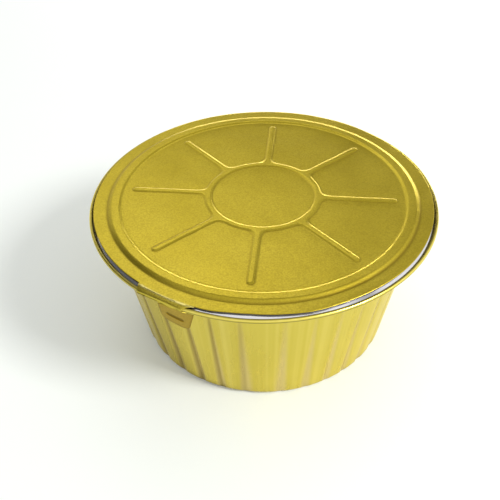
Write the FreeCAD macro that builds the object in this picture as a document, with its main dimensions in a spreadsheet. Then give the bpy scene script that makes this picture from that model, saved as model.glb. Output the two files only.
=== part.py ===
import FreeCAD, Part
import math
import os
import Sketcher

# Round foil food container with its embossed foil lid, in millimetres.
# The base stands on Z = 0 and Z is the axis of both pieces.

# Driving dimensions, one cell each. Angles are in degrees.
SIZES = {
    # The pressed cup: sheet, rolled edge, seat for the lid, mouth and base
    "cup_gauge": "0.2",
    "rim_diameter": "130",
    "rim_height": "53.6",
    "bead_diameter": "1.4",
    "curl_end_angle": "172",
    "seat_rise": "1.8",
    "seat_width": "1.3",
    "seat_bend": "0.4",
    "mouth_inset": "6.8",
    "mouth_bend": "0.6",
    "base_diameter": "98.6",
    "base_bend": "2.5",
    # The flutes pressed into the cup's wall
    "flute_count": "33",
    "flute_depth": "0.75",
    "flute_width": "3.4",
    "flute_floor_width": "1.0",
    "flute_end_below_seat": "3.5",
    # The lid: sheet, ring bead, panel, hub ring and ribs
    "lid_gauge": "0.2",
    "lid_edge_inset": "1.6",
    "lid_turn": "-119",
    "lid_flange_width": "4.9",
    "ring_outer_slope": "1.9",
    "ring_top_width": "2.6",
    "ring_inner_slope": "0.7",
    "ring_rise": "1.1",
    "panel_rise": "0.65",
    "hub_diameter": "44.2",
    "rib_width": "3.0",
    "rib_rise": "0.45",
    "rib_slope": "0.8",
    "rib_count": "8",
    "rib_end_gap": "3.0",
    "rib_turn": "23.9",
    # The lid's tab, folded over the rolled edge
    "tab_width": "18.9",
    "tab_bend": "0.5",
    "tab_clearance": "0.15",
    "tab_skirt": "0.6",
    "tongue_tilt": "17",
    "tongue_lean": "14",
    "tongue_offset": "3.5",
    "tongue_length": "10",
    "tongue_top_width": "12.4",
    "tongue_end_width": "10.2",
    "tongue_corner": "2.8",
}

# Values that follow from the driving dimensions
WORKED = {
    "bead_radius": "sizes.bead_diameter / 2",
    "bead_x": "sizes.rim_diameter / 2 - worked.bead_radius",
    "seat_z": "sizes.rim_height + sizes.seat_rise",
    "base_x": "sizes.base_diameter / 2 - sizes.base_bend",
    "mouth_x": "sizes.rim_diameter / 2 - sizes.mouth_inset + sizes.mouth_bend + sizes.cup_gauge",
    "mouth_z": "worked.seat_z - sizes.cup_gauge - sizes.mouth_bend",
    "seat_end_x": "worked.mouth_x + sizes.seat_width",
    "seat_end_z": "worked.seat_z - sizes.cup_gauge - sizes.seat_bend",
    "wall_draft":
        "atan((worked.mouth_x - worked.base_x) / (worked.mouth_z - sizes.base_bend))"
        " - asin((sizes.base_bend + sizes.mouth_bend)"
        " / hypot(worked.mouth_x - worked.base_x; worked.mouth_z - sizes.base_bend))",
    "flange_slope":
        "atan((worked.seat_end_z - sizes.rim_height) / (worked.bead_x - worked.seat_end_x))"
        " + asin((worked.bead_radius + sizes.seat_bend)"
        " / hypot(worked.bead_x - worked.seat_end_x; worked.seat_end_z - sizes.rim_height))",
    "flute_half": "sizes.flute_width / 2",
    "flute_floor_half": "sizes.flute_floor_width / 2",
    "flute_top_z": "worked.seat_z - sizes.flute_end_below_seat",
    "lid_radius": "sizes.rim_diameter / 2 - sizes.lid_edge_inset",
    "lid_z": "worked.seat_z + sizes.lid_gauge",
    "panel_z": "worked.lid_z + sizes.panel_rise",
    "underside_z": "worked.panel_z - sizes.lid_gauge",
    "ring_z": "worked.lid_z + sizes.ring_rise",
    "ring_foot_x": "worked.lid_radius - sizes.lid_flange_width",
    "ring_edge_x": "worked.ring_foot_x - sizes.ring_outer_slope",
    "ring_inside_x": "worked.ring_edge_x - sizes.ring_top_width",
    "panel_x": "worked.ring_inside_x - sizes.ring_inner_slope",
    "hub_x": "sizes.hub_diameter / 2",
    "rib_start_x": "worked.hub_x - sizes.rib_width / 2 - sizes.rib_slope / 2",
    "rib_half": "sizes.rib_width / 2",
    "rib_end_x": "worked.panel_x - sizes.rib_end_gap - worked.rib_half",
    "rib_slope_angle": "atan(sizes.rib_slope / sizes.rib_rise)",
    "wrap_radius": "worked.bead_radius + sizes.tab_clearance",
    "tab_bend_z": "worked.seat_z - sizes.tab_bend",
    "tab_slope":
        "atan((worked.tab_bend_z - sizes.rim_height) / (worked.bead_x - worked.lid_radius))"
        " - asin((worked.wrap_radius - sizes.tab_bend)"
        " / hypot(worked.bead_x - worked.lid_radius; worked.tab_bend_z - sizes.rim_height))",
    "tab_angle": "2 * asin(sizes.tab_width / sizes.rim_diameter)",
    "tilt": "sizes.tongue_tilt * 1 deg",
    "lean": "sizes.tongue_lean * 1 deg",
    "skirt_z": "sizes.rim_height - sizes.tab_skirt",
    "tongue_half": "sizes.tongue_top_width / 2",
    "tongue_run": "sizes.tongue_length / cos(worked.tilt) + sizes.tongue_top_width",
    "trim_half": "sizes.tab_width + sizes.tongue_top_width",
    "trim_z": "worked.skirt_z - 2 * sizes.tongue_length - 2 * sizes.tongue_top_width",
    "tongue_taper":
        "atan((sizes.tongue_top_width - sizes.tongue_end_width) / 2 / sizes.tongue_length)",
}

# How far a cutting shape runs past the surface it opens
OVERRUN = 1.0
# How far outside the wall the floor of a flute ends at its top
FLUTE_FADE = 0.05
# How far the tab reaches back under the lid's own flange
TAB_ROOT = 1.0

X_AXIS = -1
Y_AXIS = -2
START, END, CENTRE = range(1, 4)
DEGREE = math.pi / 180


def make_sheet(doc, name, cells, sign):
    """A spreadsheet with one aliased cell for each entry."""
    sheet = doc.addObject("Spreadsheet::Sheet", name)
    for row, (alias, content) in enumerate(cells.items(), start=1):
        sheet.set(f"A{row}", alias)
        sheet.set(f"B{row}", sign + content)
        sheet.setAlias(f"B{row}", alias)
    doc.recompute()
    return sheet


def number(owner, expression):
    """The value of an expression as a plain number, angles in degrees."""
    value = owner.evalExpression(expression)
    return float(getattr(value, "Value", value))


def point(x, y):
    return {"x": x, "y": y}


def arc(x, y, radius, start, end):
    """An arc given by its centre, its radius and the angles where it begins and ends."""
    return {"x": x, "y": y, "radius": radius, "start": start, "end": end}


def bind(sketch, kind, geometry, vertex, expression):
    """Hold one coordinate or radius of the sketch to an expression."""
    value = number(sketch, expression)
    if kind == "Radius":
        index = sketch.addConstraint(Sketcher.Constraint(kind, geometry, value))
    elif expression == "0":
        axis = Y_AXIS if kind == "DistanceX" else X_AXIS
        sketch.addConstraint(Sketcher.Constraint("PointOnObject", geometry, vertex, axis))
        return
    else:
        index = sketch.addConstraint(Sketcher.Constraint(kind, geometry, vertex, value))
    sketch.setExpression(f"Constraints[{index}]", expression)


def bind_arc_end(sketch, geometry, vertex, corner, angle):
    """Hold an arc's end to its angle, through the coordinate that changes most there."""
    turn = number(sketch, angle) * DEGREE
    if abs(math.sin(turn)) > abs(math.cos(turn)):
        bind(sketch, "DistanceX", geometry, vertex,
             f"({corner['x']}) + ({corner['radius']}) * cos({angle})")
    else:
        bind(sketch, "DistanceY", geometry, vertex,
             f"({corner['y']}) + ({corner['radius']}) * sin({angle})")


def add_arc(sketch, corner):
    """Add one arc and return its index and the vertices where the outline enters and leaves it."""
    centre = FreeCAD.Vector(number(sketch, corner["x"]), number(sketch, corner["y"]), 0)
    circle = Part.Circle(centre, FreeCAD.Vector(0, 0, 1), number(sketch, corner["radius"]))
    start = number(sketch, corner["start"]) * DEGREE
    end = number(sketch, corner["end"]) * DEGREE
    geometry = sketch.addGeometry(Part.ArcOfCircle(circle, min(start, end), max(start, end)))
    enter, leave = (START, END) if start < end else (END, START)
    bind(sketch, "DistanceX", geometry, CENTRE, corner["x"])
    bind(sketch, "DistanceY", geometry, CENTRE, corner["y"])
    bind(sketch, "Radius", geometry, None, corner["radius"])
    bind_arc_end(sketch, geometry, enter, corner, corner["start"])
    bind_arc_end(sketch, geometry, leave, corner, corner["end"])
    return geometry, enter, leave


def arc_end(sketch, corner, angle):
    """Where an arc of the outline begins or ends, or the corner itself where it is sharp."""
    x = number(sketch, corner["x"])
    y = number(sketch, corner["y"])
    if "radius" in corner:
        turn = number(sketch, corner[angle]) * DEGREE
        x += number(sketch, corner["radius"]) * math.cos(turn)
        y += number(sketch, corner["radius"]) * math.sin(turn)
    return FreeCAD.Vector(x, y, 0)


def draw_outline(sketch, corners):
    """Draw a closed outline of sharp corners and arcs joined by straight lines."""
    arcs = [add_arc(sketch, corner) if "radius" in corner else None for corner in corners]
    lines = []
    for here, there in zip(corners, corners[1:] + corners[:1]):
        line = Part.LineSegment(arc_end(sketch, here, "end"), arc_end(sketch, there, "start"))
        lines.append(sketch.addGeometry(line))
    for index, corner in enumerate(corners):
        if arcs[index] is None:
            sketch.addConstraint(Sketcher.Constraint(
                "Coincident", lines[index - 1], END, lines[index], START))
            bind(sketch, "DistanceX", lines[index], START, corner["x"])
            bind(sketch, "DistanceY", lines[index], START, corner["y"])
        else:
            geometry, enter, leave = arcs[index]
            sketch.addConstraint(Sketcher.Constraint(
                "Coincident", lines[index - 1], END, geometry, enter))
            sketch.addConstraint(Sketcher.Constraint(
                "Coincident", lines[index], START, geometry, leave))


def add_sketch(body, name, plane, corners, offset="0"):
    """A sketch on one of the body's own origin planes, or at an offset from it."""
    sketch = body.newObject("Sketcher::SketchObject", name)
    support = next(item for item in body.Origin.OriginFeatures if item.Role == plane)
    sketch.AttachmentSupport = [(support, "")]
    sketch.MapMode = "FlatFace"
    sketch.AttachmentOffset = FreeCAD.Placement(
        FreeCAD.Vector(0, 0, number(sketch, offset)),
        FreeCAD.Rotation(FreeCAD.Vector(0, 0, 1), 0))
    sketch.setExpression("AttachmentOffset.Base.z", offset)
    draw_outline(sketch, corners)
    sketch.Document.recompute()
    return sketch


def add_revolution(body, name, kind, sketch, angle="360"):
    """Turn a sketch about the body's axis, to both sides of the sketch alike."""
    feature = body.newObject(f"PartDesign::{kind}", name)
    feature.Profile = sketch
    feature.ReferenceAxis = (sketch, ["V_Axis"])
    feature.Midplane = True
    feature.setExpression("Angle", angle)
    sketch.Document.recompute()
    return feature


def add_pattern(body, name, feature, count):
    """Repeat a feature evenly around the body's axis."""
    pattern = body.newObject("PartDesign::PolarPattern", name)
    pattern.Originals = [feature]
    axis = next(item for item in body.Origin.OriginFeatures if item.Role == "Z_Axis")
    pattern.Axis = (axis, [""])
    pattern.Angle = 360
    pattern.setExpression("Occurrences", count)
    body.Tip = pattern
    body.Document.recompute()
    return pattern


def wall_radius(inset, height):
    """The wall's radius at a height, on its outside or that much sheet further in."""
    return (f"worked.base_x + (sizes.base_bend - {inset}) / cos(worked.wall_draft)"
            f" + (({height}) - sizes.base_bend) * tan(worked.wall_draft)")


def flute_section(floor):
    """The flute's cross-section, open outwards, with its floor at the given radius."""
    height = f"(sizes.flute_depth + {OVERRUN})"
    mouth = (f"(worked.flute_floor_half + (worked.flute_half - worked.flute_floor_half)"
             f" * {height} / sizes.flute_depth)")
    return [
        point(floor, "-worked.flute_floor_half"),
        point(f"{floor} + {height}", f"-{mouth}"),
        point(f"{floor} + {height}", mouth),
        point(floor, "worked.flute_floor_half"),
    ]


def press_flutes(body, inset):
    """Sink the flutes into a solid form, deepest at the base and gone below the seat."""
    low = f"-{OVERRUN}"
    low_floor = f"{wall_radius(inset, low)} - sizes.flute_depth"
    high_floor = f"{wall_radius(inset, 'worked.flute_top_z')} + {FLUTE_FADE}"
    low_sketch = add_sketch(body, f"{body.Name}_flute_foot", "XY_Plane", flute_section(low_floor), low)
    high_sketch = add_sketch(
        body, f"{body.Name}_flute_top", "XY_Plane", flute_section(high_floor), "worked.flute_top_z")
    flute = body.newObject("PartDesign::SubtractiveLoft", f"{body.Name}_flute")
    flute.Profile = low_sketch
    flute.Sections = [high_sketch]
    flute.Ruled = True
    body.Document.recompute()
    add_pattern(body, f"{body.Name}_flutes", flute, "sizes.flute_count")


def base_arc(inset):
    return arc("worked.base_x", "sizes.base_bend", f"sizes.base_bend - {inset}",
               "-90 deg", "-worked.wall_draft")


def mouth_arc(inset):
    return arc("worked.mouth_x", "worked.mouth_z", f"sizes.mouth_bend + {inset}",
               "180 deg - worked.wall_draft", "90 deg")


def seat_end_arc(inset, start, end):
    return arc("worked.seat_end_x", "worked.seat_end_z", f"sizes.seat_bend + {inset}", start, end)


def bead_arc(inset, start, end):
    return arc("worked.bead_x", "sizes.rim_height", f"worked.bead_radius - {inset}", start, end)


def make_outer_form(doc):
    """The cup's outside as a solid: base, wall, seat, sloping flange and rolled edge."""
    body = doc.addObject("PartDesign::Body", "outer_form")
    slope_side = "90 deg - worked.flange_slope"
    curl_start = "-90 deg - worked.flange_slope"
    curl_end = "sizes.curl_end_angle * 1 deg"
    section = add_sketch(body, "outer_section", "XZ_Plane", [
        point("0", "0"),
        base_arc("0"),
        mouth_arc("0"),
        seat_end_arc("0", "90 deg", slope_side),
        bead_arc("0", curl_start, curl_end),
        bead_arc("sizes.cup_gauge", curl_end, curl_start),
        seat_end_arc("sizes.cup_gauge", slope_side, "90 deg"),
        point("0", "worked.seat_z"),
    ])
    add_revolution(body, "outer_turned", "Revolution", section)
    press_flutes(body, "0")
    return body


def make_inner_form(doc):
    """The cup's inside as a solid, one sheet smaller all over and open past the seat."""
    body = doc.addObject("PartDesign::Body", "inner_form")
    section = add_sketch(body, "inner_section", "XZ_Plane", [
        point("0", "sizes.cup_gauge"),
        base_arc("sizes.cup_gauge"),
        mouth_arc("sizes.cup_gauge"),
        point("worked.mouth_x", f"worked.seat_z + {OVERRUN}"),
        point("0", f"worked.seat_z + {OVERRUN}"),
    ])
    add_revolution(body, "inner_turned", "Revolution", section)
    press_flutes(body, "sizes.cup_gauge")
    return body


def make_container(doc):
    """The cup: one sheet between its outer and its inner form."""
    container = doc.addObject("Part::Cut", "container")
    container.Base = make_outer_form(doc)
    container.Tool = make_inner_form(doc)
    doc.recompute()
    return container


def raised_section(base_z):
    """The hub ring's cross-section, standing on the given height."""
    return [
        point("worked.hub_x - sizes.rib_width", base_z),
        point("worked.hub_x", base_z),
        point("worked.hub_x - sizes.rib_slope", f"{base_z} + sizes.rib_rise"),
        point("worked.hub_x - sizes.rib_width + sizes.rib_slope", f"{base_z} + sizes.rib_rise"),
    ]


def rib_outline():
    """A rib seen from above, from the middle of the hub ring to its round outer end."""
    return [
        point("worked.rib_start_x", "-worked.rib_half"),
        arc("worked.rib_end_x", "0", "worked.rib_half", "-90 deg", "90 deg"),
        point("worked.rib_start_x", "worked.rib_half"),
    ]


def add_ribs(body, name, kind, base_z):
    """The ribs, raised on top of the sheet or hollowed from below, with sloping sides."""
    sketch = add_sketch(body, f"{name}_outline", "XY_Plane", rib_outline(), base_z)
    sketch.setExpression("AttachmentOffset.Rotation.Angle", "sizes.rib_turn * 1 deg")
    rib = body.newObject(f"PartDesign::{kind}", name)
    rib.Profile = sketch
    rib.Reversed = kind == "Pocket"
    rib.setExpression("Length", "sizes.rib_rise")
    rib.setExpression("TaperAngle", "-worked.rib_slope_angle")
    body.Document.recompute()
    add_pattern(body, f"{name}s", rib, "sizes.rib_count")


def tab_arcs(inset, forward):
    """The tab's bend at the lid's edge and its wrap round the rolled edge, on one side of the sheet."""
    bend = ["90 deg", "90 deg - worked.tab_slope"]
    wrap = ["90 deg - worked.tab_slope", "-worked.tilt"]
    if not forward:
        bend.reverse()
        wrap.reverse()
    arcs = [
        arc("worked.lid_radius", "worked.tab_bend_z", f"sizes.tab_bend + {inset}", *bend),
        arc("worked.bead_x", "sizes.rim_height", f"worked.wrap_radius + {inset}", *wrap),
    ]
    return arcs if forward else arcs[::-1]


def tongue_end(inset):
    """The tongue's lower edge in the tab's section, on one side of the sheet."""
    radius = f"(worked.wrap_radius + {inset})"
    return point(f"worked.bead_x + {radius} * cos(worked.tilt) - worked.tongue_run * sin(worked.tilt)",
                 f"sizes.rim_height - {radius} * sin(worked.tilt) - worked.tongue_run * cos(worked.tilt)")


def trim_outline():
    """What is cut from the tab below its skirt, all but the leaning tongue with its round corners."""
    side = "worked.trim_half"
    corner = "sizes.tongue_corner"
    half = (f"(worked.tongue_half - tan(worked.tongue_taper) * (sizes.tongue_length - {corner})"
            f" - {corner} / cos(worked.tongue_taper))")
    drop = f"(sizes.tongue_length - {corner})"

    def leaning(across):
        """A place in the tongue's own frame, across its width and down to its round corners."""
        return (f"sizes.tongue_offset + {across} * cos(worked.lean) - {drop} * sin(worked.lean)",
                f"worked.skirt_z - {across} * sin(worked.lean) - {drop} * cos(worked.lean)")

    reach = "worked.tongue_half * sin(worked.lean)"
    return [
        point(f"-{side}", "worked.skirt_z"),
        point(f"sizes.tongue_offset - worked.tongue_half * cos(worked.lean)"
              f" + {reach} * tan(worked.tongue_taper - worked.lean)", "worked.skirt_z"),
        arc(*leaning(f"(-{half})"), corner,
            "180 deg + worked.tongue_taper - worked.lean", "270 deg - worked.lean"),
        arc(*leaning(half), corner,
            "-90 deg - worked.lean", "-worked.tongue_taper - worked.lean"),
        point(f"sizes.tongue_offset + worked.tongue_half * cos(worked.lean)"
              f" + {reach} * tan(worked.tongue_taper + worked.lean)", "worked.skirt_z"),
        point(side, "worked.skirt_z"),
        point(side, "worked.trim_z"),
        point(f"-{side}", "worked.trim_z"),
    ]


def add_tab(body):
    """The tab over the rolled edge, then the cut that leaves its skirt and its tongue."""
    section = add_sketch(body, "tab_section", "XZ_Plane", [
        point(f"worked.lid_radius - {TAB_ROOT}", "worked.lid_z"),
        *tab_arcs("sizes.lid_gauge", True),
        tongue_end("sizes.lid_gauge"),
        tongue_end("0"),
        *tab_arcs("0", False),
        point(f"worked.lid_radius - {TAB_ROOT}", "worked.seat_z"),
    ])
    add_revolution(body, "tab", "Revolution", section, "worked.tab_angle")
    outline = add_sketch(body, "tongue_outline", "YZ_Plane", trim_outline())
    trim = body.newObject("PartDesign::Pocket", "tongue_trim")
    trim.Profile = outline
    trim.Type = "ThroughAll"
    trim.Reversed = True
    body.Tip = trim
    body.Document.recompute()


def make_lid(doc):
    """The lid: one embossed disc with a tab that is folded over the rolled edge."""
    body = doc.addObject("PartDesign::Body", "lid")
    section = add_sketch(body, "lid_section", "XZ_Plane", [
        point("0", "worked.underside_z"),
        point("worked.panel_x", "worked.underside_z"),
        point("worked.ring_inside_x", "worked.ring_z - sizes.lid_gauge"),
        point("worked.ring_edge_x", "worked.ring_z - sizes.lid_gauge"),
        point("worked.ring_foot_x", "worked.seat_z"),
        point("worked.lid_radius", "worked.seat_z"),
        point("worked.lid_radius", "worked.lid_z"),
        point("worked.ring_foot_x", "worked.lid_z"),
        point("worked.ring_edge_x", "worked.ring_z"),
        point("worked.ring_inside_x", "worked.ring_z"),
        point("worked.panel_x", "worked.panel_z"),
        point("0", "worked.panel_z"),
    ])
    add_revolution(body, "lid_disc", "Revolution", section)
    hub = add_sketch(body, "hub_section", "XZ_Plane", raised_section("worked.panel_z"))
    add_revolution(body, "hub_ring", "Revolution", hub)
    add_ribs(body, "rib", "Pad", "worked.panel_z")
    hub_hollow = add_sketch(body, "hub_hollow_section", "XZ_Plane", raised_section("worked.underside_z"))
    add_revolution(body, "hub_hollow", "Groove", hub_hollow)
    add_ribs(body, "rib_hollow", "Pocket", "worked.underside_z")
    add_tab(body)
    body.setExpression("Placement.Rotation.Angle", "sizes.lid_turn * 1 deg")
    doc.recompute()
    return body


def check_shapes(doc, parts):
    """Stop if a feature failed or a sub-part isn't one sound solid."""
    for item in doc.Objects:
        if "Invalid" in item.State or "Error" in item.State:
            raise RuntimeError(f"{item.Name} failed: {item.State}")
    for part in parts:
        shape = part.Shape
        if shape.isNull() or not shape.isValid() or len(shape.Solids) != 1:
            raise RuntimeError(f"{part.Label} is not one valid solid")


def main():
    doc = FreeCAD.newDocument("foil_food_container")
    make_sheet(doc, "sizes", SIZES, "")
    make_sheet(doc, "worked", WORKED, "=")
    parts = [make_container(doc), make_lid(doc)]
    check_shapes(doc, parts)
    os.makedirs("parts", exist_ok=True)
    for part in parts:
        part.Shape.exportStep(f"parts/{part.Label}.step")
        print(part.Label, round(part.Shape.Volume, 1), "mm3", part.Shape.optimalBoundingBox(False))


main()
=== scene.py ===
import math

import bmesh
import bpy
from mathutils import Matrix, Vector, noise


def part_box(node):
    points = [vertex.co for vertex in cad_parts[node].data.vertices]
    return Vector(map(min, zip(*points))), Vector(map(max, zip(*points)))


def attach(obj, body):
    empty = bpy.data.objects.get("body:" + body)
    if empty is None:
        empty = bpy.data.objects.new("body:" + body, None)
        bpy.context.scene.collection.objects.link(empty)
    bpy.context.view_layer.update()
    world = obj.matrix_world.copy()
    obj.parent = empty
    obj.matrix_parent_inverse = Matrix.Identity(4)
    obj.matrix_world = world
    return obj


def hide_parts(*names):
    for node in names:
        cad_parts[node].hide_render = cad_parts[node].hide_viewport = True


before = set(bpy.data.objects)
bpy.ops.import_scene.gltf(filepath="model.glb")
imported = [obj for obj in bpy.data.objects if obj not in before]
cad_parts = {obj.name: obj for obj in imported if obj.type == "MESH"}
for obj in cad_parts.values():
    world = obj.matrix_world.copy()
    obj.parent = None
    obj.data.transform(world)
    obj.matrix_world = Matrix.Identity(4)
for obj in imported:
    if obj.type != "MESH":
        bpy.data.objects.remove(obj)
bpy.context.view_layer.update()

MM = 0.001

# Sizes of the foil cup, whose highest place is the seat of the lid
GAUGE = 0.2 * MM
RIM_RADIUS = 65.0 * MM
SEAT_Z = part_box("container")[1].z
RIM_Z = SEAT_Z - 1.4 * MM
BEAD_RADIUS = 0.74 * MM
BEAD_X = RIM_RADIUS - BEAD_RADIUS
CURL_END = 172
SEAT_BEND = 0.4 * MM
SEAT_END_X = 60.3 * MM
# The slope of the line that touches the seat's bend above and the rolled edge below
FLANGE_RUN = BEAD_X - SEAT_END_X
FLANGE_DROP = SEAT_Z - GAUGE - SEAT_BEND - RIM_Z
FLANGE_SLOPE = math.degrees(math.atan2(FLANGE_DROP, FLANGE_RUN)
                            + math.asin((SEAT_BEND + BEAD_RADIUS) / math.hypot(FLANGE_DROP, FLANGE_RUN)))
MOUTH_X = 59.0 * MM
MOUTH_BEND = 0.6 * MM
BASE_X = 46.8 * MM
BASE_BEND = 2.5 * MM
WALL_DRAFT = 9.86
# How far the wall, each land between two flutes and the rolled edge stray from their round
WALL_WAVE = 0.10 * MM
LAND_WAVE = 0.08 * MM
RIM_WOBBLE = 0.18 * MM
RIM_RIPPLE = 0.16 * MM
# Over what height the wall comes back to its round at the base and at the seat
WAVE_FADE_LOW = 6 * MM
WAVE_FADE_HIGH = 8 * MM
# Which angles the rolled edge faces where shade or a highlight is painted on it, and over how many degrees
# that fades
BEAD_UPPER_DARK, BEAD_UPPER_FADE = 62, 26
BEAD_LOWER_DARK, BEAD_LOWER_FADE = 14, 20
BEAD_BRIGHT_AT, BEAD_BRIGHT_FADE = 38, 26

# Flutes of the cup's wall
FLUTES = 33
FLUTE_DEPTH = 0.75 * MM
FLUTE_TOP = SEAT_Z - 3.5 * MM
FLUTE_FLOOR_HALF = 0.3 * MM
FLUTE_SIDE = 0.45 * MM
FLUTE_SPREAD = 2.2
# The cut at which a flute's painted highlight is full, and that at which the painted shade beside it is fully
# dark
HIGHLIGHT_FULL_CUT = 0.45 * MM
SHADE_FULL_CUT = 0.3 * MM
# How dark the painted shade beside a flute is without any cut, and how many degrees it reaches left and right
# of its flute
SHADE_UNCUT = 0.35
SHADE_LEFT, SHADE_RIGHT = 3.0, 0.9
# Over what height the painted shade fades in below its flute's top, and where the painted shade line at the
# base starts to fade
SHADE_TOP_FADE = 9 * MM
BASE_SHADE_Z = 0.3 * MM
BASE_SHADE_FADE = 3.0 * MM
# How many degrees the flutes stand beside their even places, by turn
FLUTE_SHIFTS = ((-180, 0), (-150, 0.8), (-131, 1.5), (-120, 1.5), (-109, 0.2), (-98.2, 0), (-87.3, 4.6),
                (-76.4, 4.4), (-65.5, 3.7), (-54.5, 2.3), (-43.6, 1.2), (-20, 0), (180, 0))
# How dark the painted shade beside the flutes is, by turn
FLUTE_SHADES = ((-180, 0.7), (-140, 1), (-113, 1), (-108, 0.8), (-98, 0.45), (-88, 0.05), (-60, 0.05),
                 (-40, 0.3), (0, 0.7), (180, 0.7))
# Places of the wall's columns from a flute's middle to the middle of the land beside it, in degrees
FLUTE_COLUMNS = (0, 0.45, 0.9, 1.35, 1.85, 2.6, 3.8, 180 / FLUTES)
COLUMNS_PER_FLUTE = 2 * (len(FLUTE_COLUMNS) - 1)

# Sizes of the embossed lid
LID_Z = SEAT_Z + GAUGE
LID_EDGE = RIM_RADIUS - 1.6 * MM
RING_FOOT = LID_EDGE - 4.9 * MM
RING_EDGE = RING_FOOT - 1.9 * MM
RING_INSIDE = RING_EDGE - 2.6 * MM
PANEL_EDGE = RING_INSIDE - 1.0 * MM
RING_RISE = 0.9 * MM
PANEL_RISE = 0.48 * MM
RIB_RISE = 0.38 * MM
RIB_HALF = 1.5 * MM
RIB_TOP_HALF = 0.65 * MM
RIB_JOIN = 3.4 * MM
HUB_RADIUS = 20.6 * MM
RIB_END = PANEL_EDGE - 3.0 * MM - RIB_HALF
RIBS = 8
RIB_TURN = -5.1
# Columns from one rib to the middle between it and the next, and places of the first ones beside the rib
HALF_COLUMNS = 30
RIB_COLUMNS = [x * MM for x in (0, 0.25, 0.5, 0.72, 0.94, 1.16, 1.4, 1.7, 2.1, 2.7)]
RIB_COLUMNS_INSIDE = 18 * MM
# How far the disc strays from its even height, in long waves and short ones
LID_WAVE = 0.10 * MM
LID_RIPPLE = 0.05 * MM
# How dark the painted shade in the crease on the ring's outer slope is, by turn
RING_SHADE_PLACES = ((-180, 0.4), (-100, 0.42), (-76, 0.6), (-56, 0.75), (-20, 0.7), (0, 0.5), (25, 0.2),
                 (90, 0.1), (140, 0.35), (180, 0.4))
CREASE_AT = RING_FOOT - 0.3 * MM
CREASE_HALF = 0.8 * MM
# How dark the painted shade at the foot of a rib is, and its half width
RIB_SHADE = 0.35
RIB_CREASE_HALF = 0.45 * MM
# How many millimetres the lid's edge stands inside its round, by turn
EDGE_PLACES = ((-180, 0.1), (-150, 0.25), (-137, 0.4), (-131, 0.5), (-129, 0), (-112.5, 0), (-110.5, 0.2),
               (-106, 0.15), (-100, 0.75), (-94, 0.9), (-88, 0.6), (-82, 0.4), (-76, 0.15), (-70, 0.5),
               (-64, 0.75), (-52, 0.65), (-38, 0.45), (-20, 0.3), (0, 0.1), (90, 0), (180, 0.1))
EDGE_WAVE = 0.15
# How many millimetres the lid's edge hangs down, by turn
DROOP_PLACES = ((-180, 0), (-85, 0), (-66, 0.2), (-52, 0.5), (-36, 0.6), (-15, 0.5), (10, 0.15), (40, 0),
                (180, 0))

# The folded tab, with turns in degrees along the rim
TAB_LEFT = -129.3
TAB_RIGHT = -114.0
TAB_BEND = 0.5 * MM
TAB_SLOPE = 42.5
TAB_PRESS = 0.7 * MM
TAB_ROWS = 18
WRAP_RADIUS = BEAD_RADIUS + 0.15 * MM
WRAP_OUTSIDE = WRAP_RADIUS + GAUGE
TILT = 17
SKIRT_Z = RIM_Z - 0.15 * MM
# Where the lid's even columns start and end between the two ribs beside the tab, and where some of them go
TAB_SECTOR = (-137.7, -97.5)
TAB_COLUMNS = ((0, -137.7), (9, -130.5), (11, TAB_LEFT), (31, TAB_RIGHT), (35, -112.0), (37, -110.4),
               (42, -97.5))
# How many millimetres the rolled edge is lifted beside the tab, by turn
LIFT_PLACES = ((-180, 0), (-132, 0), (-126, 0.1), (-114, 0.3), (-106, 0.33), (-98, 0.12), (-90, 0), (180, 0))
# How much of the way over the rolled edge the sheet goes, by turn
REACH_PLACES = ((-130.5, 0), (-130.0, 0.25), (TAB_LEFT, 1), (TAB_RIGHT, 1), (-113.3, 0.62), (-112.5, 0.33),
                (-111.7, 0.14), (-110.4, 0))
# How pale the fold's painted highlight, partly burnished foil, is at the lid's edge and just inside it, and
# how wide both are
FOLD_EDGE = 0.5
FOLD_INSIDE = 0.35
FOLD_EDGE_WIDTH = 0.15 * MM
FOLD_WIDTH = 0.45 * MM

# The tongue that hangs from the tab
TONGUE_MIDDLE = -119.0
LEAN = 14
TONGUE_OFFSET = 3.2 * MM
TONGUE_START_Z = RIM_Z - 0.6 * MM
TONGUE_TOP_Z = RIM_Z - 0.7 * MM
TONGUE_LENGTH = 10.9 * MM
TONGUE_TOP_HALF = 6.5 * MM
TONGUE_END_HALF = 5.1 * MM
TONGUE_CORNER = 2.8 * MM
TONGUE_STEP = 0.35 * MM
TONGUE_ROWS = 16
# The share of the tongue inside its border of painted shade, and how dark that border is
BORDER_INSIDE = 0.88
BORDER_SHADE = 0.45
# The bar that is pressed into the tongue
BAR_HALF = 2.2 * MM
BAR_DOWN = 5.6 * MM
BAR_FLOOR = 0.85 * MM
BAR_SIDE = 0.35 * MM
BAR_DEPTH = 0.25 * MM

# Colours of the cup's lacquer: lands, streaks, the painted highlight in the flutes and the painted shade
# beside them, and the rolled edge's painted shade and highlight
LAND_DEEP, LAND_LIGHT = (0.58, 0.475, 0.070), (0.65, 0.54, 0.088)
STREAK = (0.78, 0.66, 0.17)
FLUTE_PAINTED_HIGHLIGHT = (0.66, 0.53, 0.25)
FLUTE_PAINTED_SHADE = (0.24, 0.165, 0.025)
BEAD_PAINTED_SHADE, BEAD_PAINTED_HIGHLIGHT = (0.16, 0.12, 0.02), (0.95, 0.82, 0.18)
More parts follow.
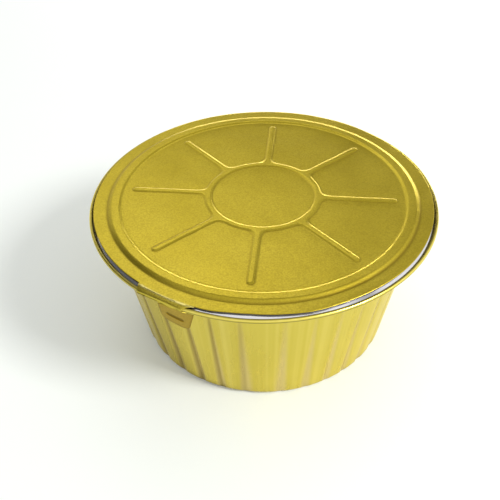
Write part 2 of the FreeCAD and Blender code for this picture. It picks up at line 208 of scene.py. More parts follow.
# Colours of the lid's lacquer: disc, grain and the painted shade in its creases, the fold's painted highlight
# (partly burnished foil), and the tab with its tongue, whose browns are painted shade
DISC_DEEP, DISC_LIGHT = (0.475, 0.365, 0.023), (0.545, 0.425, 0.035)
DISC_GRAIN = (0.29, 0.21, 0.010)
DISC_PAINTED_SHADE = (0.16, 0.10, 0.005)
FOLD_HIGHLIGHT = (1.0, 0.93, 0.42)
SLOPE_LIGHT, SLOPE_GRAIN = (0.68, 0.55, 0.070), (0.47, 0.36, 0.030)
WRAP = (0.58, 0.475, 0.066)
TONGUE_SHADE_PALE, TONGUE_SHADE_GRAIN = (0.41, 0.275, 0.045), (0.34, 0.225, 0.034)
TONGUE_RECESS_SHADE = (0.17, 0.10, 0.008)
# Colours of the bare foil; the lid's underside is darker, partly as painted shade for the shade beneath the
# lid
BARE_DEEP, BARE_LIGHT = (0.74, 0.73, 0.745), (0.82, 0.81, 0.825)
DULL_SHADE_DEEP, DULL_SHADE_LIGHT = (0.20, 0.195, 0.19), (0.28, 0.275, 0.27)

# The stage
FLOOR_COLOUR = (0.785, 0.81, 0.78, 1)
FLOOR_GLOW_COLOUR = (0.93, 1.0, 0.96, 1)
FLOOR_GLOW = 0.13
WORLD_LEVEL = 0.63
CAMERA_PLACE = (0, -0.2265, 0.2196)
CAMERA_YAW, CAMERA_PITCH, CAMERA_ROLL = (math.radians(x) for x in (-1.365, -40.05, -1.26))
CAMERA_LENS = 53.35
CAMERA_SENSOR = 36


def arc_points(x, z, radius, start, end, steps):
    """Points along a section's arc, with both its ends."""
    turns = [math.radians(start + (end - start) * i / steps) for i in range(steps + 1)]
    return [(x + radius * math.cos(t), z + radius * math.sin(t)) for t in turns]


def between(start, end, steps):
    """Points along a section's straight line, without its ends."""
    shares = [i / steps for i in range(1, steps)]
    return [(start[0] + (end[0] - start[0]) * s, start[1] + (end[1] - start[1]) * s) for s in shares]


def turn_sheet(section, columns):
    """Turns a section's line about the axis into one sheet."""
    sheet = bmesh.new()
    line = [sheet.verts.new((x, 0, z)) for x, z in section]
    edges = [sheet.edges.new(pair) for pair in zip(line, line[1:])]
    bmesh.ops.spin(sheet, geom=line + edges, cent=(0, 0, 0), axis=(0, 0, 1),
                   angle=math.tau, steps=columns, use_merge=True)
    bmesh.ops.remove_doubles(sheet, verts=sheet.verts, dist=0.00002)
    return sheet


def face_outwards(sheet, up):
    """Turns all faces of an open sheet so that its middle looks up or down."""
    bmesh.ops.recalc_face_normals(sheet, faces=sheet.faces)
    middle = min(sheet.faces, key=lambda f: f.calc_center_median().xy.length)
    if (middle.normal.z > 0) != up:
        bmesh.ops.reverse_faces(sheet, faces=sheet.faces)


def finish_sheet(sheet, name, finishes):
    """Makes the sheet an object with its gauge. Each finish of a face is followed by that of its back."""
    mesh = bpy.data.meshes.new(name)
    sheet.to_mesh(mesh)
    sheet.free()
    mesh.shade_smooth()
    for material in finishes:
        mesh.materials.append(material)
    piece = bpy.data.objects.new(name, mesh)
    bpy.context.scene.collection.objects.link(piece)
    gauge = piece.modifiers.new("gauge", "SOLIDIFY")
    gauge.thickness = GAUGE
    gauge.offset = -1
    gauge.material_offset = 1
    return piece


def along(places, value):
    """The number that a list of places gives at a value, on straight lines between them."""
    for (a, first), (b, second) in zip(places, places[1:]):
        if value <= b:
            return first + (second - first) * max(value - a, 0) / (b - a)
    return places[-1][1]


def soft(value):
    """0 below 0 and 1 above 1, level at both ends."""
    t = min(max(value, 0), 1)
    return t * t * (3 - 2 * t)


def ramp(value):
    """0 below 0 and 1 above 1, nearly straight between them."""
    return 0.7 * min(max(value, 0), 1) + 0.3 * soft(value)


def uneven(turn, scale, level):
    """Soft noise that closes on itself around the axis."""
    return noise.noise(Vector((math.cos(turn) * scale, math.sin(turn) * scale, level)))


def within_turn(turn):
    """The same turn between half a turn back and half a turn on."""
    return (turn + math.pi) % math.tau - math.pi


def at_turn(radius, turn, z):
    return Vector((radius * math.cos(turn), radius * math.sin(turn), z))


def turn_of(vertex):
    return math.atan2(vertex.co.y, vertex.co.x)


def wall_radius(z):
    """The radius of the wall's straight line at a height."""
    draft = math.radians(WALL_DRAFT)
    return BASE_X + BASE_BEND / math.cos(draft) + (z - BASE_BEND) * math.tan(draft)


def flute_cut(across, z):
    """How deep a flute lies below the wall at a place across it."""
    depth = FLUTE_DEPTH * (FLUTE_TOP - z) / FLUTE_TOP
    if depth <= 0:
        return 0
    return depth * (1 - ramp((abs(across) - FLUTE_FLOOR_HALF) / (FLUTE_SIDE + FLUTE_SPREAD * depth)))


def flute_painted_shade(across, cut, z):
    """How dark the painted shade is: widely left of a flute, narrowly right of it, all round at the base."""
    low = 1 - soft((z - BASE_SHADE_Z) / BASE_SHADE_FADE)
    if cut <= 0 and across >= 0:
        return low
    near = 1 - soft(-across / SHADE_LEFT if across < 0 else across / SHADE_RIGHT)
    return max(near * soft(cut / SHADE_FULL_CUT + SHADE_UNCUT), low)


def painted_bead_light(facing):
    """1 on the rolled edge's two bands of painted shade and -1 on the painted highlight between them, by the
    angle it faces.
    """
    upper = soft((facing - BEAD_UPPER_DARK) / BEAD_UPPER_FADE)
    lower = soft((BEAD_LOWER_DARK - facing) / BEAD_LOWER_FADE)
    bright = 1 - soft(abs(facing - BEAD_BRIGHT_AT) / BEAD_BRIGHT_FADE)
    return max(upper, lower) - bright


def press_of_tab(turn):
    """How far the folded tab has pressed the rolled edge in from its round."""
    share = (math.degrees(turn) - TAB_LEFT) / (TAB_RIGHT - TAB_LEFT)
    return TAB_PRESS * 4 * share * (1 - share) if 0 < share < 1 else 0


def cup_section():
    """The outside of the cup's sheet, from the middle of the base to the end of the curl."""
    base = [(x * MM, 0) for x in (0, 12, 24, 34, 41, 45)]
    corner = arc_points(BASE_X, BASE_BEND, BASE_BEND, -90, -WALL_DRAFT, 9)
    mouth = arc_points(MOUTH_X, SEAT_Z - GAUGE - MOUTH_BEND, MOUTH_BEND, 180 - WALL_DRAFT, 90, 5)
    seat_end = arc_points(SEAT_END_X, SEAT_Z - GAUGE - SEAT_BEND, SEAT_BEND, 90, 90 - FLANGE_SLOPE, 3)
    bead = arc_points(BEAD_X, RIM_Z, BEAD_RADIUS, -90 - FLANGE_SLOPE, CURL_END, 26)
    return (base + corner + between(corner[-1], mouth[0], 24) + mouth
            + between(mouth[-1], seat_end[0], 2) + seat_end + between(seat_end[-1], bead[0], 5) + bead)


def shape_cup(cup):
    """Gathers the columns at the flutes, presses the flutes and bends the lands a little."""
    pressed = cup.verts.layers.float.new("pressed")
    rim_light_paint = cup.verts.layers.float.new("rim_light_paint")
    flute_shade_paint = cup.verts.layers.float.new("flute_shade_paint")
    for vertex in cup.verts:
        radius = vertex.co.xy.length
        if radius < MM:
            continue
        column = round(turn_of(vertex) / math.tau * FLUTES * COLUMNS_PER_FLUTE)
        flute = round(column / COLUMNS_PER_FLUTE)
        step = column - flute * COLUMNS_PER_FLUTE
        across = math.copysign(FLUTE_COLUMNS[abs(step)], step)
        turn = within_turn(math.radians(flute * 360 / FLUTES + across))
        turn += math.radians(along(FLUTE_SHIFTS, math.degrees(turn)))
        degrees = math.degrees(turn)
        z = vertex.co.z
        if z < FLUTE_TOP and radius > BASE_X * 0.9:
            cut = flute_cut(math.radians(across) * radius, z)
            wave = WALL_WAVE * uneven(turn, 3.1, z * 14)
            wave += LAND_WAVE * noise.noise(Vector((flute * 1.7, 3.3, z * 6)))
            wave *= soft(z / WAVE_FADE_LOW) * soft((SEAT_Z - z) / WAVE_FADE_HIGH)
            radius = min(radius + wave, wall_radius(z) + wave - cut)
            # Painted highlight in the flute's floor
            vertex[pressed] = min(cut / HIGHLIGHT_FULL_CUT, 1)
            # Painted shade beside the flute, wide on its left, and along the base
            below_top = soft((FLUTE_TOP - z) / SHADE_TOP_FADE)
            vertex[flute_shade_paint] = flute_painted_shade(across, cut, z) * along(FLUTE_SHADES, degrees) * below_top
        elif radius > MOUTH_X:
            # Painted shade and a painted highlight on the rolled edge, by the angle it faces
            if radius > BEAD_X - BEAD_RADIUS * 1.1:
                vertex[rim_light_paint] = painted_bead_light(math.degrees(math.atan2(z - RIM_Z, radius - BEAD_X)))
            share = soft((radius - MOUTH_X) / (4 * MM))
            radius += share * (RIM_WOBBLE * uneven(turn, 1.6, 7.7) - press_of_tab(turn))
            z += share * (RIM_RIPPLE * uneven(turn, 1.9, 2.2) + along(LIFT_PLACES, degrees) * MM)
        vertex.co = at_turn(radius, turn, z)


def make_cup(*finishes):
    cup = turn_sheet(cup_section(), FLUTES * COLUMNS_PER_FLUTE)
    shape_cup(cup)
    face_outwards(cup, up=False)
    return finish_sheet(cup, "cup", finishes)


def spaced(start, step, count):
    """Even places from a start, with the step in millimetres."""
    return [start + step * MM * i for i in range(count)]


def lid_rows():
    """Distances from the axis of the lid's rows, close together where the sheet is embossed."""
    rows = [x * MM for x in (0, 5, 10, 14, 17)]
    rows += spaced(HUB_RADIUS - 2.2 * MM, 0.28, 17)
    rows += spaced(HUB_RADIUS + 2.8 * MM, 1.2, 21)
    rows += spaced(RIB_END - 0.7 * MM, 0.3, 13)
    rows += [PANEL_EDGE + x * MM for x in (-0.8, -0.1, 0.2, 0.4, 0.65, 0.9, 1.15, 1.6, 2.3, 3.0)]
    rows += spaced(RING_EDGE - 0.25 * MM, 0.3, 9)
    rows += [LID_EDGE - x * MM for x in (4.0, 3.2, 2.4, 1.6, 0.8, 0.3, 0)]
    return rows


def ring_height(radius):
    """Height of the ring bead, the flange outside it and the panel inside it."""
    if radius > (RING_EDGE + RING_INSIDE) / 2:
        return RING_RISE * ramp((RING_FOOT - radius) / (RING_FOOT - RING_EDGE))
    return PANEL_RISE + (RING_RISE - PANEL_RISE) * ramp((radius - PANEL_EDGE) / (RING_INSIDE - PANEL_EDGE))


def smooth_least(a, b, blend):
    """The smaller of two numbers, rounded off where they are about the same."""
    share = max(blend - abs(a - b), 0) / blend
    return min(a, b) - share * share * blend / 4


def rib_rise_at(distance):
    """Height of a rib or of the hub ring at a distance from its middle line."""
    return RIB_RISE * (1 - ramp((distance - RIB_TOP_HALF) / (RIB_HALF - RIB_TOP_HALF)))


def rib_distance(radius, from_rib):
    """Distance from the middle line of the hub ring or of the rib, with rounded joins between them."""
    to_hub = abs(radius - HUB_RADIUS)
    if radius < HUB_RADIUS:
        return to_hub
    out = radius * math.cos(from_rib)
    across = radius * math.sin(from_rib)
    past_end = max(out - RIB_END, 0) + max(HUB_RADIUS - out, 0)
    return smooth_least(to_hub, math.hypot(past_end, across), RIB_JOIN)


def column_turn(step, radius):
    """The turn of a column from the middle of its rib."""
    last = len(RIB_COLUMNS) - 1
    reach = max(radius, RIB_COLUMNS_INSIDE)
    if step <= last:
        return RIB_COLUMNS[step] / reach
    start = RIB_COLUMNS[last] / reach
    return start + (math.pi / RIBS - start) * (step - last) / (HALF_COLUMNS - last)


def edge_radius(turn):
    """Where the lid's hand-cut edge runs."""
    return LID_EDGE - (along(EDGE_PLACES, math.degrees(turn)) + EDGE_WAVE * uneven(turn, 2.3, 1.1)) * MM


def gather_at_tab(turn, share):
    """Moves the columns beside the tab so that its sides lie on columns at the lid's edge."""
    degrees = math.degrees(turn)
    start, end = TAB_SECTOR
    if not start < degrees < end:
        return turn
    column = (degrees - start) / (end - start) * TAB_COLUMNS[-1][0]
    return math.radians(degrees + (along(TAB_COLUMNS, column) - degrees) * share)


def shape_lid(lid):
    """Gathers the columns at the ribs and embosses the disc."""
    pressed = lid.verts.layers.float.new("pressed")
    lid.verts.layers.float.new("folded")
    for vertex in lid.verts:
        radius = vertex.co.xy.length
        if radius < MM:
            vertex.co.z = LID_Z + PANEL_RISE
            continue
        column = round(turn_of(vertex) / math.tau * 2 * HALF_COLUMNS * RIBS)
        rib = round(column / (2 * HALF_COLUMNS))
        step = column - rib * 2 * HALF_COLUMNS
        from_rib = math.copysign(column_turn(abs(step), radius), step)
        turn = within_turn(math.radians(RIB_TURN + rib * 360 / RIBS) + from_rib)
        height = ring_height(radius)
        # Painted shade along the crease at the ring's foot and, inside the panel, at the ribs' feet
        crease_shade = along(RING_SHADE_PLACES, math.degrees(turn)) * max(1 - abs(radius - CREASE_AT) / CREASE_HALF, 0)
        if radius < PANEL_EDGE:
            distance = rib_distance(radius, from_rib)
            height += rib_rise_at(distance)
            crease_shade = RIB_SHADE * max(1 - abs(distance - RIB_HALF) / RIB_CREASE_HALF, 0)
        vertex[pressed] = crease_shade
        place = at_turn(radius, turn, 0)
        height += LID_WAVE * noise.noise(place * 45) + LID_RIPPLE * noise.noise(place * 160)
        if radius > RING_FOOT:
            share = (radius - RING_FOOT) / (LID_EDGE - RING_FOOT)
            turn = gather_at_tab(turn, share)
            radius = RING_FOOT + share * (edge_radius(turn) - RING_FOOT)
            beyond = max(radius - SEAT_END_X, 0) / (LID_EDGE - SEAT_END_X)
            height -= along(DROOP_PLACES, math.degrees(turn)) * MM * beyond ** 1.5
        vertex.co = at_turn(radius, turn, LID_Z + height)


def tab_path():
    """The upper side of the tab's sheet in section, from the lid's edge to the end of its skirt."""
    bend = arc_points(LID_EDGE, SEAT_Z - TAB_BEND, TAB_BEND + GAUGE, 90, 90 - TAB_SLOPE, 4)[1:]
    round_bead = arc_points(BEAD_X, RIM_Z, WRAP_OUTSIDE, 90 - TAB_SLOPE, -TILT, 7)
    drop = round_bead[-1][1] - SKIRT_Z
    skirt = (round_bead[-1][0] - drop * math.tan(math.radians(TILT)), SKIRT_Z)
    return [(LID_EDGE, LID_Z)] + bend + round_bead + [skirt]


def extrude_row(sheet, row):
    """Adds one row of faces to an open edge and returns its new vertices in the old order."""
    edges = [sheet.edges.get(pair) for pair in zip(row, row[1:])]
    made = bmesh.ops.extrude_edge_only(sheet, edges=edges)["geom"]
    fresh = [item for item in made if isinstance(item, bmesh.types.BMVert)]
    follow = {}
    for vertex in fresh:
        for edge in vertex.link_edges:
            other = edge.other_vert(vertex)
            if other in row:
                follow[other] = vertex
    return [follow[vertex] for vertex in row]


def path_point(path, reach):
    """The point at a share of the path's length."""
    lengths = [math.dist(a, b) for a, b in zip(path, path[1:])]
    left = reach * sum(lengths)
    for (a, b), length in zip(zip(path, path[1:]), lengths):
        if left <= length:
            share = left / length
            return a[0] + (b[0] - a[0]) * share, a[1] + (b[1] - a[1]) * share
        left -= length
    return path[-1]


def add_tab(lid):
    """Folds the tab straight over the rolled edge and lets its tongue hang from it."""
    left, right = (math.radians(x) for x in (REACH_PLACES[0][0] - 0.2, REACH_PLACES[-1][0] + 0.2))
    row = sorted((v for v in lid.verts if v.is_boundary and left < turn_of(v) < right), key=turn_of)
    turns = [turn_of(v) for v in row]
    starts = [v.co.xy.length - LID_EDGE for v in row]
    path = tab_path()
    folded = lid.verts.layers.float["folded"]
    # Painted highlight, partly burnished foil, along the fold at the lid's edge beside the tab
    for vertex in lid.verts:
        inside = LID_EDGE - vertex.co.xy.length
        if inside < FOLD_WIDTH:
            pale = FOLD_EDGE if inside < FOLD_EDGE_WIDTH else FOLD_INSIDE
            vertex[folded] = pale * along(REACH_PLACES, math.degrees(turn_of(vertex)))
    for step in range(1, TAB_ROWS + 1):
        row = extrude_row(lid, row)
        done = step / TAB_ROWS
        for turn, start, vertex in zip(turns, starts, row):
            reach = done * along(REACH_PLACES, math.degrees(turn))
            x, z = path_point(path, reach)
            x += start * (1 - done) - press_of_tab(turn) * (0.45 + 0.55 * done)
            z += along(LIFT_PLACES, math.degrees(turn)) * MM * soft(reach * 2)
            vertex.co = at_turn(x, turn, z)
            # Painted highlight, partly burnished foil, on the tab's bend
            vertex[folded] = FOLD_EDGE * max(1 - 4.5 * reach, 0) if reach > 0 else 0
    add_tongue(lid, row)


def tongue_point(across, down):
    """A place on the hanging tongue, from its own frame to the lid's, and how deep it is pressed there."""
    lean, tilt = math.radians(LEAN), math.radians(TILT)
    y = TONGUE_OFFSET + across * math.cos(lean) - down * math.sin(lean)
    z = TONGUE_START_Z - across * math.sin(lean) - down * math.cos(lean)
    below_wrap = RIM_Z - WRAP_OUTSIDE * math.sin(tilt) - z
    radius = BEAD_X + WRAP_OUTSIDE * math.cos(tilt) - below_wrap * math.tan(tilt) - TONGUE_STEP
    from_bar = math.hypot(max(abs(across) - BAR_HALF, 0), down - BAR_DOWN)
    press = 1 - soft((from_bar - BAR_FLOOR) / BAR_SIDE)
    radius -= BAR_DEPTH * press
    turn = math.radians(TONGUE_MIDDLE) + math.asin(y / radius)
    return at_turn(radius, turn, z), press


def add_tongue(lid, row):
    """The leaning tongue below the tab's skirt, with round lower corners and one pressed bar."""
    def across_of(vertex):
        turn = turn_of(vertex) - math.radians(TONGUE_MIDDLE)
        return vertex.co.xy.length * math.sin(turn) - TONGUE_OFFSET
    row = [v for v in row if across_of(v) > -TONGUE_TOP_HALF - 0.3 * MM and v.co.z < SKIRT_Z + 0.5 * MM]
    shares = [2 * i / (len(row) - 1) - 1 for i in range(len(row))]
    grown = set()
    for step in range(TONGUE_ROWS + 1):
        row = extrude_row(lid, row)
        grown.update(row)
        for share, vertex in zip(shares, row):
            vertex.co = Vector((share, step / TONGUE_ROWS, 0))
    edges = [edge for edge in lid.edges if edge.verts[0] in grown and edge.verts[1] in grown]
    bmesh.ops.subdivide_edges(lid, edges=edges, cuts=3, use_grid_fill=True)
    pressed = lid.verts.layers.float["pressed"]
    lean = math.radians(LEAN)
    # Until it is shaped, only the tongue lies at the height of the base, as shares of its width and length
    for vertex in [v for v in lid.verts if v.co.z == 0]:
        share, down_share = vertex.co.x, vertex.co.y
        beyond = max(abs(share) * TONGUE_END_HALF - TONGUE_END_HALF + TONGUE_CORNER, 0)
        length = TONGUE_LENGTH - TONGUE_CORNER + math.sqrt(max(TONGUE_CORNER ** 2 - beyond ** 2, 0))
        top = (TONGUE_START_Z - TONGUE_TOP_Z - share * TONGUE_TOP_HALF * math.sin(lean)) / math.cos(lean)
        down = top + down_share * (length - top)
        half = TONGUE_TOP_HALF + (TONGUE_END_HALF - TONGUE_TOP_HALF) * down / TONGUE_LENGTH
        vertex.co, press = tongue_point(share * half, down)
        # Painted shade in the pressed bar and along the tongue's border
        border = (max(abs(share), min(down / length, 1)) - BORDER_INSIDE) / (1 - BORDER_INSIDE)
        vertex[pressed] = max(press, BORDER_SHADE * soft(border))


def make_lid(*finishes):
    """The embossed disc with the first two finishes, and its tab and tongue with the other two."""
    lid = turn_sheet([(x, 0) for x in lid_rows()], 2 * HALF_COLUMNS * RIBS)
    shape_lid(lid)
    disc = set(lid.faces)
    add_tab(lid)
    for face in lid.faces:
        face.material_index = 0 if face in disc else 2
    face_outwards(lid, up=True)
    return finish_sheet(lid, "lid_sheet", finishes)


class Finish:
    """A foil's material, with short calls for the nodes that it uses."""

    def __init__(self, name):
        self.material = bpy.data.materials.new(name)
        self.material.use_nodes = True
        self.nodes = self.material.node_tree.nodes
        self.links = self.material.node_tree.links
        self.shader = self.nodes["Principled BSDF"]
        self.place = self.nodes.new("ShaderNodeTexCoord").outputs["Object"]

    def painted(self, name):
        """What the sheet's vertices hold under a name."""
        node = self.nodes.new("ShaderNodeAttribute")
        node.attribute_name = name
        return node.outputs["Fac"]

    def vector(self, operation, first):
        node = self.nodes.new("ShaderNodeVectorMath")
        node.operation = operation
        self.links.new(first, node.inputs[0])
        return node

    def around(self, scale, rise):
        """Places that stay nearly the same up the wall and change around it."""
        level = self.vector("MULTIPLY", self.place)
        level.inputs[1].default_value = (1, 1, 0)
        wide = self.vector("SCALE", self.vector("NORMALIZE", level.outputs[0]).outputs[0])
        wide.inputs["Scale"].default_value = scale
        height = self.vector("MULTIPLY_ADD", self.place)
        height.inputs[1].default_value = (0, 0, rise)
        self.links.new(wide.outputs[0], height.inputs[2])
        return height.outputs[0]

    def stretched(self, stretch):
        """Places scaled along each axis."""
        node = self.nodes.new("ShaderNodeMapping")
        node.inputs["Scale"].default_value = stretch
        self.links.new(self.place, node.inputs["Vector"])
        return node.outputs["Vector"]

    def noise(self, scale, detail, roughness=0.5, place=None):
        node = self.nodes.new("ShaderNodeTexNoise")
        node.inputs["Scale"].default_value = scale
        node.inputs["Detail"].default_value = detail
        node.inputs["Roughness"].default_value = roughness
        self.links.new(place or self.place, node.inputs["Vector"])
        return node.outputs["Fac"]

    def spread(self, value, low, high, start=0, end=1):
        """Start where the value is low and end where it is high."""
        node = self.nodes.new("ShaderNodeMapRange")
        for name, number in (("From Min", low), ("From Max", high), ("To Min", start), ("To Max", end)):
            node.inputs[name].default_value = number
        self.links.new(value, node.inputs["Value"])
        return node.outputs["Result"]

    def mix(self, share, first, second):
        """The first colour, or the second where the share is 1."""
        node = self.nodes.new("ShaderNodeMix")
        node.data_type = "RGBA"
        self.links.new(share, node.inputs[0])
        for socket, colour in ((node.inputs[6], first), (node.inputs[7], second)):
            if isinstance(colour, tuple):
                socket.default_value = (*colour, 1)
            else:
                self.links.new(colour, socket)
        return node.outputs[2]

    def calculate(self, operation, first, second):
        node = self.nodes.new("ShaderNodeMath")
        node.operation = operation
        self.links.new(first, node.inputs[0])
        self.links.new(second, node.inputs[1])
        return node.outputs[0]

    def bump(self, height, distance, strength):
        node = self.nodes.new("ShaderNodeBump")
        node.inputs["Strength"].default_value = strength
        node.inputs["Distance"].default_value = distance
        self.links.new(height, node.inputs["Height"])
        self.links.new(node.outputs["Normal"], self.shader.inputs["Normal"])

    def make_metal(self, tone, rough):
        self.links.new(tone, self.shader.inputs["Base Color"])
        self.links.new(rough, self.shader.inputs["Roughness"])
        self.shader.inputs["Metallic"].default_value = 1

    def lacquer(self, tint, weight=0.0, rough=0.03):
        """Tints the foil where it is seen at a flat angle and lays a clear coat on it."""
        self.shader.inputs["Specular Tint"].default_value = (*tint, 1)
        self.shader.inputs["Coat Weight"].default_value = weight
        self.shader.inputs["Coat Roughness"].default_value = rough


def gold_cup_finish():
    """Smooth gold lacquer on rolled foil: faint streaks up the wall, a painted highlight in the flutes'
    floors, painted shade beside the flutes and at the base, and painted shade and a painted highlight on the
    rolled edge.
    """
    finish = Finish("gold_satin_foil")
    streaks = finish.noise(1.0, 1, 0.4, finish.around(22, 3))
    blotches = finish.noise(30, 2)
    tone = finish.mix(finish.spread(blotches, 0.3, 0.7), LAND_DEEP, LAND_LIGHT)
    tone = finish.mix(finish.spread(streaks, 0.45, 0.75, 0, 0.55), tone, STREAK)
    # Painted highlight in the flutes' floors
    tone = finish.mix(finish.spread(finish.painted("pressed"), 0, 1, 0, 0.7), tone, FLUTE_PAINTED_HIGHLIGHT)
    # Painted shade beside the flutes and along the base
    tone = finish.mix(finish.spread(finish.painted("flute_shade_paint"), 0, 1, 0, 0.85), tone, FLUTE_PAINTED_SHADE)
    # Painted shade and a painted highlight on the rolled edge
    tone = finish.mix(finish.spread(finish.painted("rim_light_paint"), 0, 1, 0, 0.75), tone, BEAD_PAINTED_SHADE)
    tone = finish.mix(finish.spread(finish.painted("rim_light_paint"), 0, -1, 0, 0.6), tone, BEAD_PAINTED_HIGHLIGHT)
    streak_rough = finish.spread(streaks, 0.3, 0.7, 0.24, 0.28)
    finish.make_metal(tone, finish.calculate("ADD", streak_rough, finish.spread(blotches, 0.3, 0.7, 0, 0.04)))
    finish.lacquer((1, 0.93, 0.62), 0.2, 0.25)
    finish.bump(blotches, 0.0002, 0.2)
    return finish.material


def gold_lid_finish():
    """Matt gold lacquer on finely grained foil, with painted shade in its creases and a painted highlight
    where the tab is folded, partly burnished foil.
    """
    finish = Finish("gold_grained_foil")
    grain = finish.noise(1900, 2, 0.55)
    blotches = finish.noise(40, 3)
    tone = finish.mix(finish.spread(blotches, 0.3, 0.7), DISC_DEEP, DISC_LIGHT)
    tone = finish.mix(finish.spread(grain, 0.35, 0.7, 0, 0.48), tone, DISC_GRAIN)
    # Painted shade in the creases
    tone = finish.mix(finish.spread(finish.painted("pressed"), 0, 1), tone, DISC_PAINTED_SHADE)
    # Painted highlight along the fold, partly burnished foil
    tone = finish.mix(finish.painted("folded"), tone, FOLD_HIGHLIGHT)
    grain_rough = finish.spread(grain, 0.3, 0.7, 0.30, 0.38)
    finish.make_metal(tone, finish.calculate("ADD", grain_rough, finish.spread(blotches, 0.3, 0.7, 0, 0.04)))
    finish.lacquer((1, 0.93, 0.6), 0.15, 0.28)
    finish.bump(grain, 0.00010, 0.55)
    return finish.material


def gold_tab_finish():
    """The tab: a painted highlight at the fold, partly burnished foil; grainy on its slope, smooth over the
    rolled edge, and brown painted shade on the tongue, darker in its pressed bar and border.
    """
    finish = Finish("gold_folded_foil")
    grain = finish.noise(1700, 2, 0.55)
    split = finish.nodes.new("ShaderNodeSeparateXYZ")
    finish.links.new(finish.place, split.inputs[0])
    height = finish.calculate("ADD", split.outputs["Z"], finish.spread(grain, 0, 1, -0.1 * MM, 0.1 * MM))
    wrap = finish.spread(height, RIM_Z + 0.95 * MM, RIM_Z + 0.6 * MM)
    tongue = finish.spread(height, SKIRT_Z - 0.1 * MM, SKIRT_Z - 0.5 * MM)
    slope = finish.mix(finish.spread(grain, 0.35, 0.65), SLOPE_LIGHT, SLOPE_GRAIN)
    tone = finish.mix(wrap, slope, WRAP)
    # Brown painted shade on the tongue, darker in its pressed bar and border
    tongue_shade = finish.mix(finish.spread(grain, 0.3, 0.7), TONGUE_SHADE_PALE, TONGUE_SHADE_GRAIN)
    tongue_shade = finish.mix(finish.spread(finish.painted("pressed"), 0, 0.8), tongue_shade, TONGUE_RECESS_SHADE)
    tone = finish.mix(tongue, tone, tongue_shade)
    # Painted highlight along the fold, partly burnished foil
    tone = finish.mix(finish.painted("folded"), tone, FOLD_HIGHLIGHT)
    finish.make_metal(tone, finish.spread(grain, 0.3, 0.7, 0.28, 0.36))
    finish.lacquer((1, 0.93, 0.6))
    finish.bump(finish.calculate("MULTIPLY", grain, finish.spread(wrap, 0, 1, 1, 0.15)), 0.00008, 0.5)
    return finish.material


def silver_finish():
    """Bare aluminium foil, brighter along its rolling direction."""
    finish = Finish("bare_foil")
    streaks = finish.noise(1.0, 3, 0.5, finish.stretched((60, 900, 60)))
    cloud = finish.noise(120, 2)
    tone = finish.mix(finish.spread(streaks, 0.3, 0.7), BARE_DEEP, BARE_LIGHT)
    finish.make_metal(tone, finish.spread(cloud, 0.3, 0.7, 0.14, 0.24))
    finish.bump(streaks, 0.00002, 0.5)
    return finish.material


def dull_finish():
    """The lid's bare underside, greyer than the cup's inside, partly as painted shade for the shade beneath
    the lid.
    """
    finish = Finish("dull_foil")
    cloud = finish.noise(150, 3)
    finish.make_metal(finish.mix(cloud, DULL_SHADE_DEEP, DULL_SHADE_LIGHT), finish.spread(cloud, 0.3, 0.7, 0.40, 0.52))
    finish.bump(finish.noise(1900, 2, 0.55), 0.00005, 0.4)
    return finish.material


def add_soft_box(name, place, target, width, height, power):
    """A plain rectangular studio light that looks at a place."""
    light = bpy.data.lights.new(name, "AREA")
    light.shape = "RECTANGLE"
    light.size = width
    light.size_y = height
    light.energy = power
    lamp = bpy.data.objects.new(name, light)
    lamp.location = place
    lamp.rotation_euler = (Vector(target) - Vector(place)).to_track_quat("-Z", "Y").to_euler()
    bpy.context.scene.collection.objects.link(lamp)


def greater(nodes, links, first, second):
    node = nodes.new("ShaderNodeMath")
    node.operation = "MAXIMUM"
    links.new(first, node.inputs[0])
    links.new(second, node.inputs[1])
    return node.outputs[0]


def seen_white(nodes, links):
    """1 for the rays that show the background: straight to the camera, mirrored or through glass."""
    rays = nodes.new("ShaderNodeLightPath").outputs
    straight_or_mirrored = greater(nodes, links, rays["Is Camera Ray"], rays["Is Glossy Ray"])
    return greater(nodes, links, straight_or_mirrored, rays["Is Transmission Ray"])


def add_plate(sheet, name, finish):
    """Makes a flat sheet a plate of the stage and returns it with its material's node tree."""
    mesh = bpy.data.meshes.new(name)
    sheet.to_mesh(mesh)
    sheet.free()
    material = bpy.data.materials.new(finish)
    material.use_nodes = True
    mesh.materials.append(material)
    plate = bpy.data.objects.new(name, mesh)
    bpy.context.scene.collection.objects.link(plate)
    return plate, material.node_tree


def make_floor():
    """A wide pale floor that keeps the container's shadow."""
    sheet = bmesh.new()
    bmesh.ops.create_grid(sheet, x_segments=1, y_segments=1, size=3)
    plate, tree = add_plate(sheet, "floor", "pale_floor")
    plate.location.z = -0.0001
    shader = tree.nodes["Principled BSDF"]
    shader.inputs["Base Color"].default_value = FLOOR_COLOUR
    shader.inputs["Roughness"].default_value = 0.9
    shader.inputs["Specular IOR Level"].default_value = 0.1
    shader.inputs["Emission Color"].default_value = FLOOR_GLOW_COLOUR
    glow = tree.nodes.new("ShaderNodeMath")
    glow.operation = "MULTIPLY"
    glow.inputs[1].default_value = FLOOR_GLOW
    tree.links.new(seen_white(tree.nodes, tree.links), glow.inputs[0])
    tree.links.new(glow.outputs[0], shader.inputs["Emission Strength"])


def add_card(name, corner, run, rise, shade):
    """A plain grey card beside the stage, which only the foil's mirror images show."""
    corner, run, rise = Vector(corner), Vector(run), Vector(rise)
    sheet = bmesh.new()
    sheet.faces.new([sheet.verts.new(p) for p in (corner, corner + run, corner + run + rise, corner + rise)])
    plate, tree = add_plate(sheet, name, name)
    shader = tree.nodes["Principled BSDF"]
    shader.inputs["Base Color"].default_value = (0, 0, 0, 1)
    shader.inputs["Specular IOR Level"].default_value = 0
    shader.inputs["Emission Color"].default_value = (1, 1, 1, 1)
    shader.inputs["Emission Strength"].default_value = shade
    plate.visible_camera = False
    plate.visible_diffuse = False
    plate.visible_shadow = False


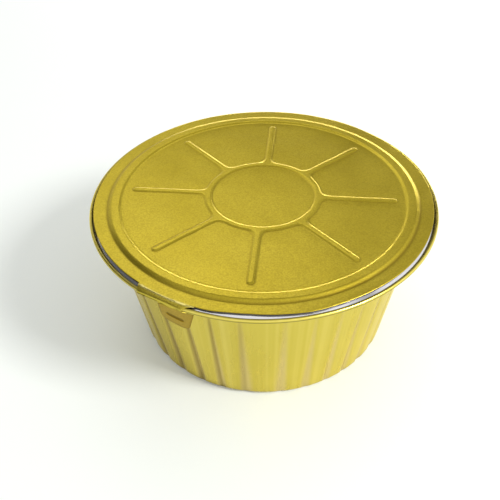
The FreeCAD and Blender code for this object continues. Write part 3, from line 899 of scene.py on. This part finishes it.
def make_world():
    """An even white surrounding, dimmer as a light than it looks."""
    world = bpy.data.worlds.new("studio")
    bpy.context.scene.world = world
    world.use_nodes = True
    nodes, links = world.node_tree.nodes, world.node_tree.links
    background = nodes["Background"]
    background.inputs["Color"].default_value = (1, 1, 1, 1)
    level = nodes.new("ShaderNodeMapRange")
    level.inputs["To Min"].default_value = WORLD_LEVEL
    level.inputs["To Max"].default_value = 1
    links.new(seen_white(nodes, links), level.inputs["Value"])
    links.new(level.outputs["Result"], background.inputs["Strength"])


def make_camera():
    """The photograph's place and lens."""
    data = bpy.data.cameras.new("camera")
    data.sensor_width = CAMERA_SENSOR
    data.lens = CAMERA_LENS
    flat = math.cos(CAMERA_PITCH)
    look = Vector((math.sin(CAMERA_YAW) * flat, math.cos(CAMERA_YAW) * flat, math.sin(CAMERA_PITCH)))
    level_right = look.cross(Vector((0, 0, 1))).normalized()
    level_up = level_right.cross(look)
    right = level_right * math.cos(CAMERA_ROLL) + level_up * math.sin(CAMERA_ROLL)
    up = level_up * math.cos(CAMERA_ROLL) - level_right * math.sin(CAMERA_ROLL)
    turn = Matrix((right, up, -look)).transposed()
    camera = bpy.data.objects.new("camera", data)
    camera.matrix_world = Matrix.Translation(CAMERA_PLACE) @ turn.to_4x4()
    bpy.context.scene.collection.objects.link(camera)
    bpy.context.scene.camera = camera


gold_satin = gold_cup_finish()
gold_grained = gold_lid_finish()
silver = silver_finish()
dull = dull_finish()
gold_folded = gold_tab_finish()

cup = make_cup(gold_satin, silver)
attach(cup, "root")
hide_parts("container")

lid_sheet = make_lid(gold_grained, dull, gold_folded, gold_folded)
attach(lid_sheet, "root")
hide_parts("lid")

make_floor()
make_world()
add_card("left_card", (-0.55, -0.4, 0.05), (0, 0.75, 0), (0, 0, 0.8), 0.12)
add_card("back_card", (-0.25, 1.1, 0.12), (1.5, 0, 0.28), (0, 0, 0.70), 0.15)
add_card("top_card", (-0.95, 0.20, 0.78), (1.60, -0.30, 0.10), (0, 0.55, 0), 0.40)
add_soft_box("key", (0.70, -0.38, 0.71), (0, 0, 0.03), 0.28, 0.28, 8.5)
add_soft_box("high", (-0.15, 0.57, 0.73), (0, 0, 0.055), 0.45, 0.22, 0.6)
add_soft_box("strip", (0.18, 0.80, 0.11), (0, 0, 0.055), 0.80, 0.14, 3.3)
make_camera()

bpy.context.scene.view_settings.view_transform = "Standard"
